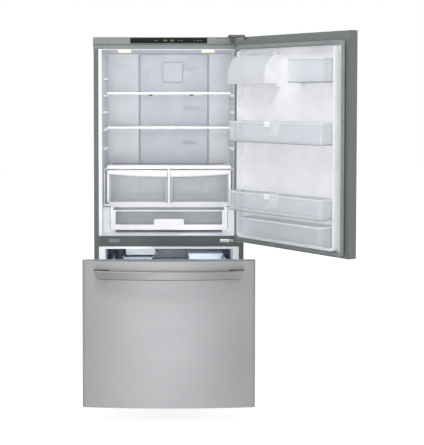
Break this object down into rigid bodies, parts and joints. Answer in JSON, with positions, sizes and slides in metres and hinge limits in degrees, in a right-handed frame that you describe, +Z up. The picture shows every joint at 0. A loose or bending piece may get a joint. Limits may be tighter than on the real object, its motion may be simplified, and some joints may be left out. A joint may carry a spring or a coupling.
{
  "type": "bottom freezer refrigerator",
  "caption": "Tall two compartment refrigerator with a hinged upper door swung open and a pull out freezer drawer below.",
  "frame": {"origin": "on the floor, midway between the case sides, in the plane of the case's front flange", "axes": "+X to the right seen from the front, +Y back into the cabinet, +Z up"},
  "size_m": [1.2024, 1.4226, 1.72],
  "materials": {
    "case_paint": "satin",
    "galvanised": null,
    "black_steel": "satin",
    "foam": null,
    "white_liner": null,
    "white_trim": null,
    "clear_plastic": null,
    "glass_pane": null,
    "grey_trim": null,
    "black_gloss": null,
    "dark_plastic": null,
    "stainless": null,
    "seal": null,
    "aluminium_fins": null,
    "rail_paint": "satin"
  },
  "bodies": {
    "cabinet": {"outer_case": "case_paint", "back_panel": "galvanised", "cabinet_insulation": "foam", "fridge_liner": "white_liner", "freezer_liner": "white_liner", "middle_rail": "rail_paint", "control_housing": "grey_trim", "display_strip": "black_gloss", "duct_cover": "white_liner", "lamp_lenses": "clear_plastic", "shelf_frames": "white_trim", "shelf_glass": "glass_pane", "crisper_frame": "white_trim", "hinge_plates": "galvanised", "top_hinge_cover": "dark_plastic", "toe_grille": "dark_plastic", "base_frame": "galvanised", "compressor": "black_steel", "condenser": "black_steel", "machine_cover": "galvanised", "freezer_rear_panel": "white_liner", "evaporator": "aluminium_fins", "freezer_runners": "galvanised", "ice_maker": "white_trim"},
    "fridge_door": {"door_skin": "stainless", "door_caps": "grey_trim", "door_foam": "foam", "door_liner": "white_liner", "door_gasket": "seal", "door_handle": "stainless", "base_pocket": "clear_plastic", "dairy_box": "white_trim"},
    "dairy_lid": {"dairy_lid": "clear_plastic"},
    "middle_bin": {"middle_bin": "clear_plastic"},
    "middle_divider": {"middle_divider": "white_trim"},
    "lower_bin": {"lower_bin": "clear_plastic"},
    "lower_divider": {"lower_divider": "white_trim"},
    "pocket_bin": {"pocket_bin": "clear_plastic"},
    "light_switch": {"light_switch": "white_trim"},
    "crisper_left": {"crisper_left_tub": "clear_plastic", "crisper_left_handle": "white_trim"},
    "crisper_right": {"crisper_right_tub": "clear_plastic", "crisper_right_handle": "white_trim"},
    "pantry_drawer": {"pantry_tub": "clear_plastic", "pantry_front": "white_trim"},
    "runner_links": {"runner_links": "galvanised"},
    "freezer_drawer": {"drawer_skin": "stainless", "drawer_caps": "grey_trim", "drawer_foam": "foam", "drawer_liner": "white_liner", "drawer_gasket": "seal", "drawer_handle": "stainless", "drawer_rails": "galvanised", "freezer_tub": "white_trim"},
    "upper_tray": {"upper_tray": "white_trim", "ice_bin": "white_trim"},
    "ice_maker_arm": {"ice_maker_arm": "stainless"},
    "condenser_fan": {"condenser_fan": "dark_plastic"},
    "evaporator_fan": {"evaporator_fan": "dark_plastic"},
    "rear_rollers": {"rear_rollers": "dark_plastic"}
  },
  "joints": [
    {"name": "fridge_door_hinge", "type": "hinge", "parent": "cabinet", "child": "fridge_door", "pos_m": [0.358, -0.046, 0.72], "axis": [0, 0, 1], "range_deg": [-127.5, 7.5]},
    {"name": "dairy_lid_hinge", "type": "hinge", "parent": "fridge_door", "child": "dairy_lid", "pos_m": [0.48901, -0.31858, 1.622], "axis": [-0.6088, 0.7934, 0], "range_deg": [0, 70]},
    {"name": "middle_bin_lift", "type": "slide", "parent": "fridge_door", "child": "middle_bin", "axis": [0, 0, 1], "range_m": [0, 0.03]},
    {"name": "lower_bin_lift", "type": "slide", "parent": "fridge_door", "child": "lower_bin", "axis": [0, 0, 1], "range_m": [0, 0.03]},
    {"name": "pocket_bin_lift", "type": "slide", "parent": "fridge_door", "child": "pocket_bin", "axis": [0, 0, 1], "range_m": [0, 0.03]},
    {"name": "middle_divider_slide", "type": "slide", "parent": "middle_bin", "child": "middle_divider", "axis": [0.6088, -0.7934, 0], "range_m": [-0.24, 0.27]},
    {"name": "lower_divider_slide", "type": "slide", "parent": "lower_bin", "child": "lower_divider", "axis": [0.6088, -0.7934, 0], "range_m": [-0.24, 0.27]},
    {"name": "light_switch_press", "type": "slide", "parent": "cabinet", "child": "light_switch", "axis": [0, 1, 0], "range_m": [0, 0.0045], "stiffness_N_per_m": 150},
    {"name": "crisper_left_slide", "type": "slide", "parent": "cabinet", "child": "crisper_left", "axis": [0, -1, 0], "range_m": [0, 0.24]},
    {"name": "crisper_right_slide", "type": "slide", "parent": "cabinet", "child": "crisper_right", "axis": [0, -1, 0], "range_m": [0, 0.24]},
    {"name": "pantry_drawer_slide", "type": "slide", "parent": "cabinet", "child": "pantry_drawer", "axis": [0, -1, 0], "range_m": [0, 0.3]},
    {"name": "runner_link_slide", "type": "slide", "parent": "cabinet", "child": "runner_links", "axis": [0, -1, 0], "range_m": [-0.285, 0]},
    {"name": "freezer_drawer_slide", "type": "slide", "parent": "runner_links", "child": "freezer_drawer", "axis": [0, -1, 0], "range_m": [-0.29, 0]},
    {"name": "upper_tray_slide", "type": "slide", "parent": "cabinet", "child": "upper_tray", "axis": [0, -1, 0], "range_m": [0, 0.32]},
    {"name": "ice_maker_arm_swing", "type": "hinge", "parent": "cabinet", "child": "ice_maker_arm", "pos_m": [-0.066, 0.158, 0.624], "axis": [1, 0, 0], "range_deg": [-5, 9]},
    {"name": "condenser_fan_spin", "type": "hinge", "parent": "cabinet", "child": "condenser_fan", "pos_m": [0.028, 0.59, 0.156], "axis": [1, 0, 0], "continuous": true},
    {"name": "evaporator_fan_spin", "type": "hinge", "parent": "cabinet", "child": "evaporator_fan", "pos_m": [0, 0.566, 0.56], "axis": [0, -1, 0], "continuous": true},
    {"name": "rear_roller_spin", "type": "hinge", "parent": "cabinet", "child": "rear_rollers", "pos_m": [0, 0.61, 0.026], "axis": [1, 0, 0], "continuous": true}
  ]
}
